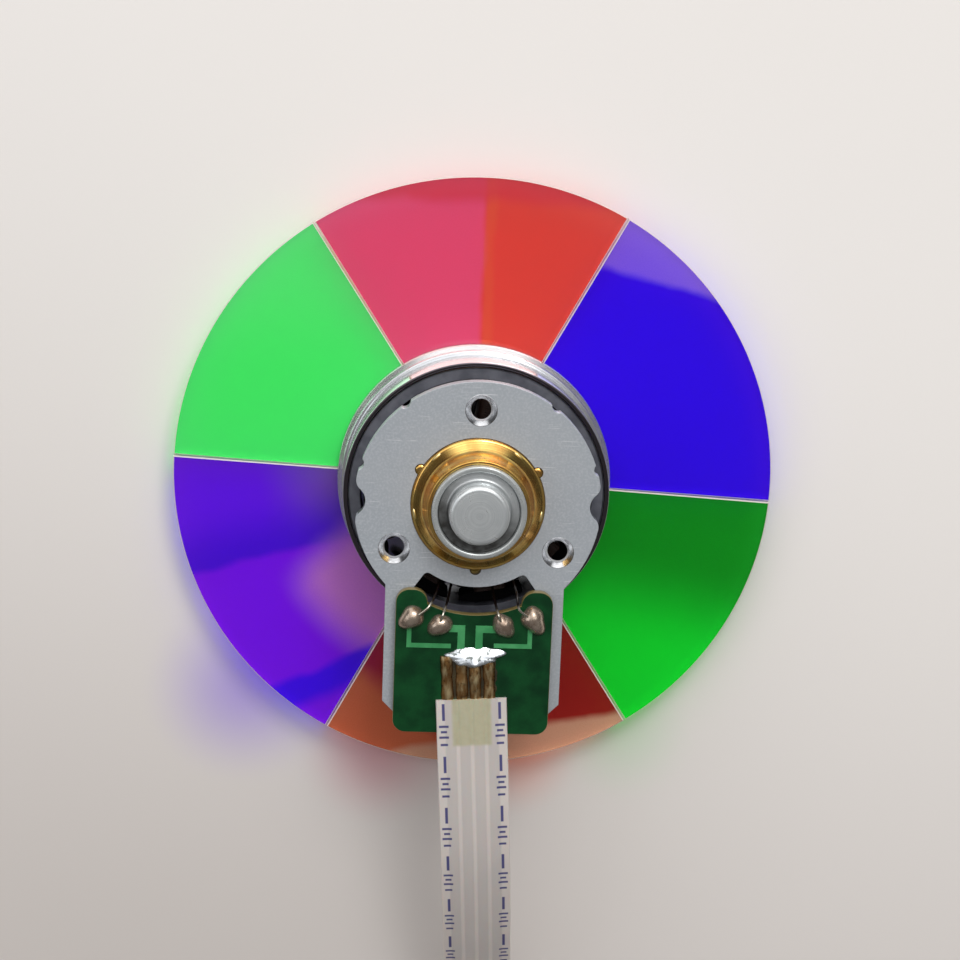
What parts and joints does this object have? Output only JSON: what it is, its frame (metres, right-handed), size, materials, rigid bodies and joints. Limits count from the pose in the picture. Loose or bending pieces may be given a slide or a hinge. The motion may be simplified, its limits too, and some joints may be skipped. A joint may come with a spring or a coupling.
{
  "type": "projector color wheel",
  "caption": "Flat motor with a ring of coloured glass filters that turns in a projector light path, with a soldered flat cable.",
  "frame": {"origin": "on the motor axis, on the face of the clamp ring that the wheel lies on", "axes": "+Z along the motor axis towards the base plate; the plate tongue and the flat cable point along -Y"},
  "size_m": [0.044, 0.1353, 0.0151],
  "materials": {
    "glass_red": "dichroic coated glass",
    "glass_green": "dichroic coated glass",
    "glass_blue": "dichroic coated glass",
    "plate_steel": "zinc-plated stamped steel, matt",
    "brass": "turned",
    "bearing_steel": "drawn steel, satin",
    "washer_plastic": "natural",
    "sintered_bronze": "sintered, oiled",
    "ground_steel": "ground",
    "core_coating": "black powder coat",
    "insulator_plastic": "black moulded",
    "enamelled_wire": "enamelled copper winding",
    "board_laminate": "green solder resist",
    "clear_adhesive": "cured, translucent",
    "solder": "solder",
    "lead_wire": "tinned wire",
    "tinned_copper": "tinned copper",
    "cable_film": "white polyester film",
    "stiffener_film": "blue polyester film",
    "hub_aluminium": "turned",
    "yoke_steel": "nickel-plated",
    "magnet": "moulded ferrite",
    "balance_putty": "cured putty"
  },
  "bodies": {
    "stator": {"base_plate": "plate_steel", "bearing_holder": "brass", "bearing_sleeve": "bearing_steel", "thrust_cap": "bearing_steel", "thrust_washer": "washer_plastic", "stop_ring": "washer_plastic", "oil_bearing": "sintered_bronze", "stator_core": "core_coating", "insulator_upper": "insulator_plastic", "insulator_lower": "insulator_plastic", "coils_u": "enamelled_wire", "coils_v": "enamelled_wire", "coils_w": "enamelled_wire", "circuit_board": "board_laminate", "board_adhesive": "clear_adhesive", "coil_solder_joints": "solder", "coil_lead_wires": "lead_wire", "cable_conductors": "tinned_copper", "cable_solder_joints": "solder", "flat_cable": "cable_film", "cable_end_stiffener": "stiffener_film", "cable_contacts": "tinned_copper"},
    "rotor": {"rotor_hub": "hub_aluminium", "rotor_yoke": "yoke_steel", "rotor_magnet": "magnet", "shaft": "ground_steel", "segment_adhesive": "clear_adhesive", "clamp_ring": "hub_aluminium", "balance_putty": "balance_putty", "filter_red_1": "glass_red", "filter_green_1": "glass_green", "filter_blue_1": "glass_blue", "filter_red_2": "glass_red", "filter_green_2": "glass_green", "filter_blue_2": "glass_blue"}
  },
  "joints": [
    {"name": "rotor_spin", "type": "hinge", "parent": "stator", "child": "rotor", "pos_m": [0, 0, 0.008], "axis": [0, 0, 1], "continuous": true}
  ]
}
